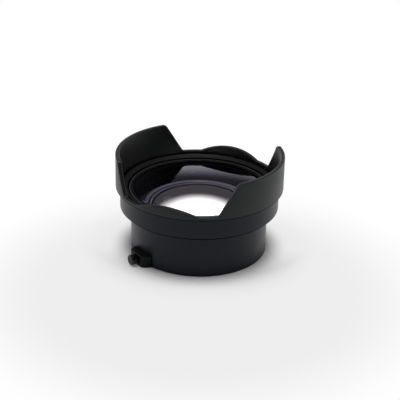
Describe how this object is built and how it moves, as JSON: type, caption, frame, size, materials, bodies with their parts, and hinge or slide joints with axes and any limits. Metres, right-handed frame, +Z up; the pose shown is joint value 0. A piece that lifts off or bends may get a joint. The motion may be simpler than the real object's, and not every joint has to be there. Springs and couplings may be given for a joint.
{
  "type": "wide_angle_conversion_lens",
  "caption": "Black clamp-on wide-angle conversion lens with a petal hood, coated front glass, a wide head ring and a side clamp knob on the rear barrel",
  "frame": {"origin": "centre of the rear barrel's rim, on the optical axis, in the plane the lens stands on", "axes": "X runs to the right and Y away from the viewer of the pictured side, and Z runs up the optical axis, out through the front glass"},
  "size_m": [0.112, 0.112, 0.068],
  "materials": {
    "satin_black_barrel": "satin black anodised aluminium",
    "satin_black_head": "satin black anodised aluminium",
    "satin_black_knob": "satin black anodised aluminium",
    "matt_black_hood": "fine-grained matt black plastic",
    "flat_black": "flat black inner surfaces",
    "coated_glass": "clear glass with a purple-tinted coating",
    "blackened_steel": "blackened steel",
    "black_rubber": "soft black rubber",
    "dull_brass": "dull brass"
  },
  "bodies": {
    "housing": {"rear_barrel": "satin_black_barrel", "head_ring": "satin_black_head", "bayonet_ring": "flat_black", "bayonet_screw_1": "blackened_steel", "bayonet_screw_2": "blackened_steel", "bayonet_screw_3": "blackened_steel", "front_retaining_ring": "flat_black", "front_element": "coated_glass", "front_seal": "black_rubber", "light_baffle": "flat_black", "rear_retaining_ring": "flat_black", "rear_element": "coated_glass", "rear_seal": "black_rubber", "cushion_ring": "black_rubber", "set_screw_1": "blackened_steel", "set_screw_2": "blackened_steel", "lug_block": "satin_black_barrel", "lug_screw_left": "blackened_steel", "lug_screw_right": "blackened_steel"},
    "hood": {"petal_hood": "matt_black_hood"},
    "shoe": {"clamp_shoe": "dull_brass"},
    "knob": {"clamp_knob": "satin_black_knob", "clamp_screw": "blackened_steel"}
  },
  "joints": [
    {"name": "hood_turn", "type": "hinge", "parent": "housing", "child": "hood", "pos_m": [0, 0, 0.0456], "axis": [0, 0, 1], "range_deg": [0, 30]},
    {"name": "shoe_slide", "type": "slide", "parent": "housing", "child": "shoe", "axis": [-0.8039, -0.5948, 0], "range_m": [0, 0.0012]},
    {"name": "knob_turn", "type": "hinge", "parent": "shoe", "child": "knob", "pos_m": [-0.043, -0.03182, 0.0042], "axis": [-0.8039, -0.5948, 0], "range_deg": [0, 540]}
  ],
  "couplings": [
    {"joint": "knob_turn", "follows": "shoe_slide", "rad_per_m": 7853.9}
  ]
}
